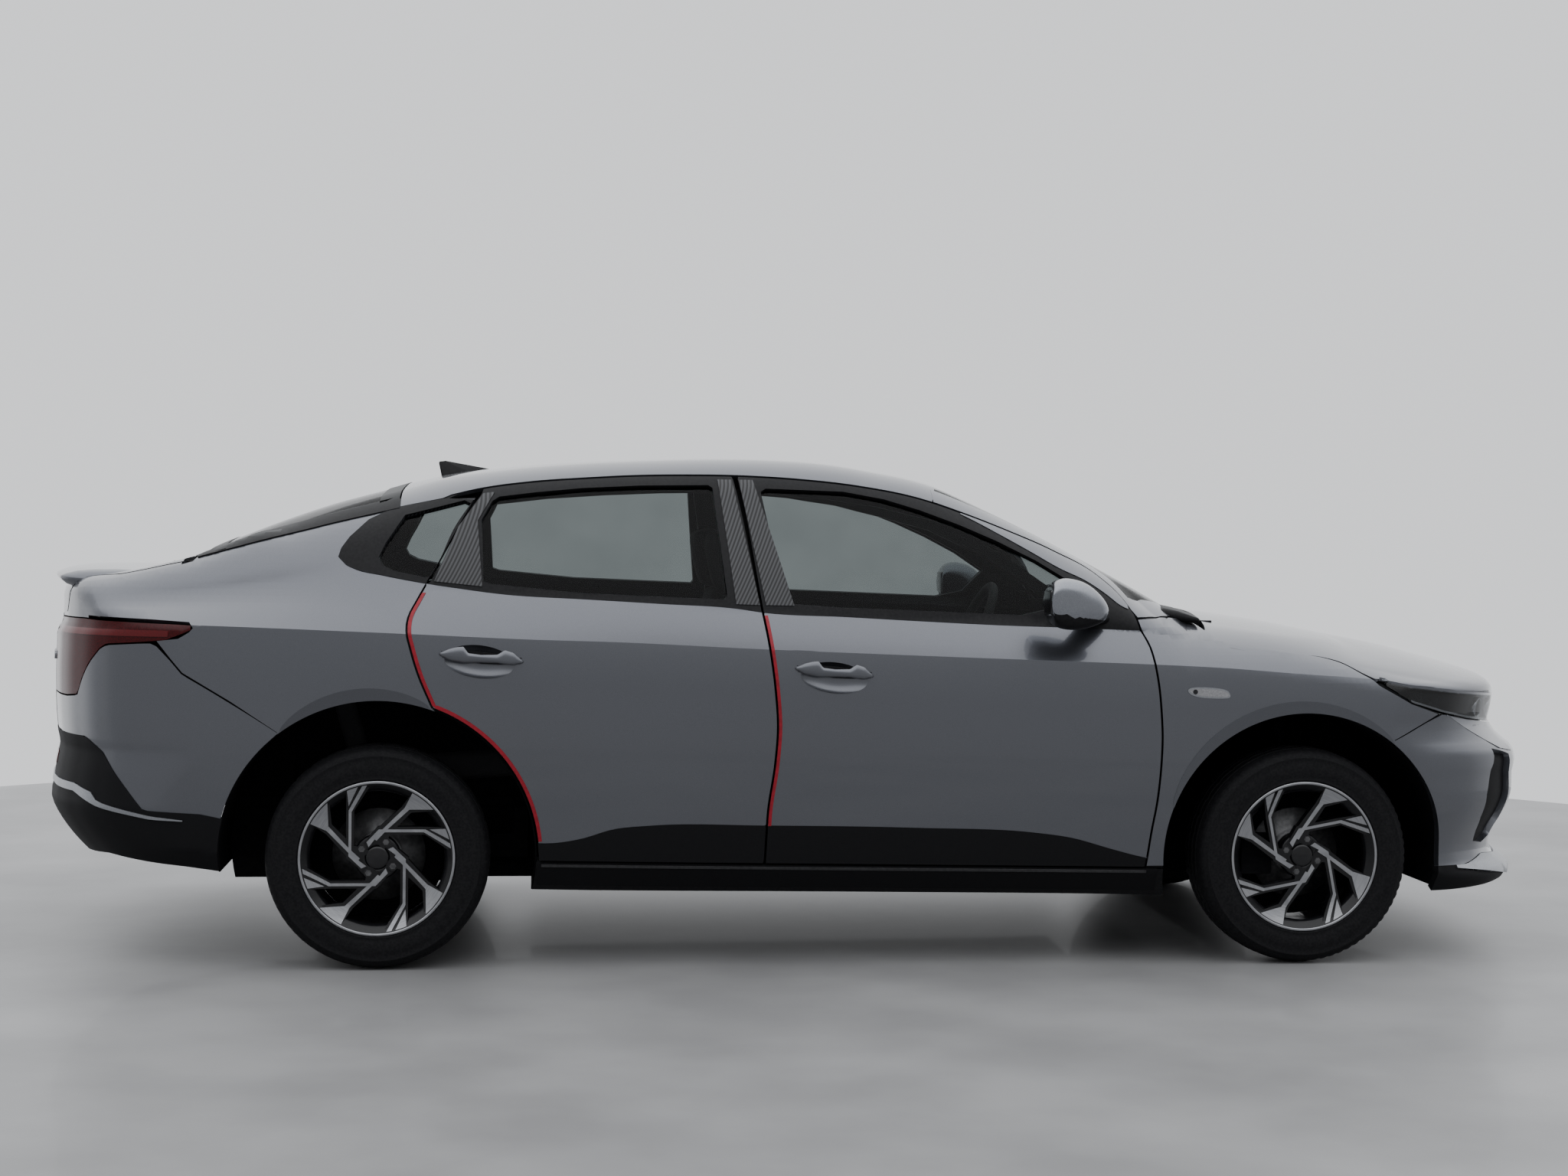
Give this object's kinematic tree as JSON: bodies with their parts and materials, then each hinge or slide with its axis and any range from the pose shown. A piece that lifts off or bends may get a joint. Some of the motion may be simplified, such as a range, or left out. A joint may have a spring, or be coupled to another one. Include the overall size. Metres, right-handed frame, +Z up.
{
  "type": "car",
  "caption": "Compact four-door saloon car with opening doors, hood and boot lid, steered front wheels and a hollow cabin",
  "frame": {"origin": "on the ground under the middle of the length and of the width", "axes": "+X forward, +Y to the left of the car, +Z up"},
  "size_m": [4.5389, 2.007, 1.4748],
  "materials": {
    "paint": "metallic graphite paint under clear lacquer",
    "black_plastic": "grained black plastic",
    "gloss_black": "glossy black plastic",
    "lamp_clear": "clear polycarbonate over bright reflectors",
    "lamp_red": "dark red polycarbonate",
    "glass": "tinted safety glass",
    "underbody": "dark underseal",
    "cabin_plastic": "soft-touch dark plastic",
    "seat_fabric": "woven dark cloth",
    "cast_alloy": "cast aluminium",
    "steel": "dull steel",
    "mirror_cap": "bright cap over dark plastic",
    "tyre": "black rubber",
    "alloy": "machined faces over dark pockets"
  },
  "bodies": {
    "body": {"floor_pan": "underbody", "side_frame_right": "paint", "side_frame_left": "paint", "roof_panel": "paint", "front_fenders": "paint", "front_bumper": "paint", "rear_bumper": "paint", "grille": "black_plastic", "headlamps": "lamp_clear", "tail_lamps": "lamp_red", "windscreen": "glass", "rear_window": "glass", "quarter_windows": "glass", "arch_liners": "black_plastic", "dashboard": "cabin_plastic", "front_seats": "seat_fabric", "rear_seat": "seat_fabric", "engine": "cast_alloy", "front_suspension": "underbody", "rear_axle": "underbody", "exhaust": "steel", "antenna": "gloss_black", "door_hinges": "steel"},
    "hood": {"hood": "paint"},
    "boot_lid": {"boot_lid": "paint", "spoiler": "paint"},
    "door_front_right": {"door_front_right": "paint", "glass_front_right": "glass", "mirror_right": "mirror_cap"},
    "door_front_left": {"door_front_left": "paint", "glass_front_left": "glass", "mirror_left": "mirror_cap"},
    "door_rear_right": {"door_rear_right": "paint", "glass_rear_right": "glass"},
    "door_rear_left": {"door_rear_left": "paint", "glass_rear_left": "glass"},
    "knuckle_right": {"knuckle_right": "underbody"},
    "knuckle_left": {"knuckle_left": "underbody"},
    "wheel_front_right": {"tyre_front_right": "tyre", "rim_front_right": "alloy"},
    "wheel_front_left": {"tyre_front_left": "tyre", "rim_front_left": "alloy"},
    "wheel_rear_right": {"tyre_rear_right": "tyre", "rim_rear_right": "alloy"},
    "wheel_rear_left": {"tyre_rear_left": "tyre", "rim_rear_left": "alloy"},
    "steering_wheel": {"steering_wheel": "cabin_plastic"}
  },
  "joints": [
    {"name": "hood_hinge", "type": "hinge", "parent": "body", "child": "hood", "pos_m": [1.1425, 0, 0.985], "axis": [0, -1, 0], "range_deg": [0, 55]},
    {"name": "boot_lid_hinge", "type": "hinge", "parent": "body", "child": "boot_lid", "pos_m": [-1.8175, 0, 1.134], "axis": [0, 1, 0], "range_deg": [0, 80]},
    {"name": "door_front_right_hinge", "type": "hinge", "parent": "body", "child": "door_front_right", "pos_m": [0.9085, -0.8585, 0.67], "axis": [0, 0, 1], "range_deg": [0, 65]},
    {"name": "door_rear_right_hinge", "type": "hinge", "parent": "body", "child": "door_rear_right", "pos_m": [-0.2105, -0.8585, 0.67], "axis": [0, 0, 1], "range_deg": [0, 65]},
    {"name": "steer_right", "type": "hinge", "parent": "body", "child": "knuckle_right", "pos_m": [1.4225, -0.715, 0.316], "axis": [0, 0, 1], "range_deg": [-35, 35]},
    {"name": "wheel_front_right_spin", "type": "hinge", "parent": "knuckle_right", "child": "wheel_front_right", "pos_m": [1.4225, -0.77, 0.316], "axis": [0, 1, 0], "continuous": true},
    {"name": "wheel_rear_right_spin", "type": "hinge", "parent": "body", "child": "wheel_rear_right", "pos_m": [-1.2575, -0.77, 0.316], "axis": [0, 1, 0], "continuous": true},
    {"name": "door_front_left_hinge", "type": "hinge", "parent": "body", "child": "door_front_left", "pos_m": [0.9085, 0.8585, 0.67], "axis": [0, 0, -1], "range_deg": [0, 65]},
    {"name": "door_rear_left_hinge", "type": "hinge", "parent": "body", "child": "door_rear_left", "pos_m": [-0.2105, 0.8585, 0.67], "axis": [0, 0, -1], "range_deg": [0, 65]},
    {"name": "steer_left", "type": "hinge", "parent": "body", "child": "knuckle_left", "pos_m": [1.4225, 0.715, 0.316], "axis": [0, 0, 1], "range_deg": [-35, 35]},
    {"name": "wheel_front_left_spin", "type": "hinge", "parent": "knuckle_left", "child": "wheel_front_left", "pos_m": [1.4225, 0.77, 0.316], "axis": [0, 1, 0], "continuous": true},
    {"name": "wheel_rear_left_spin", "type": "hinge", "parent": "body", "child": "wheel_rear_left", "pos_m": [-1.2575, 0.77, 0.316], "axis": [0, 1, 0], "continuous": true},
    {"name": "steering_wheel_turn", "type": "hinge", "parent": "body", "child": "steering_wheel", "pos_m": [0.6425, 0.36, 0.905], "axis": [-0.9063, 0, 0.4226], "range_deg": [-460, 460]}
  ],
  "couplings": [
    {"joint": "steer_right", "follows": "steer_left", "ratio": 1},
    {"joint": "steering_wheel_turn", "follows": "steer_left", "ratio": 13}
  ]
}
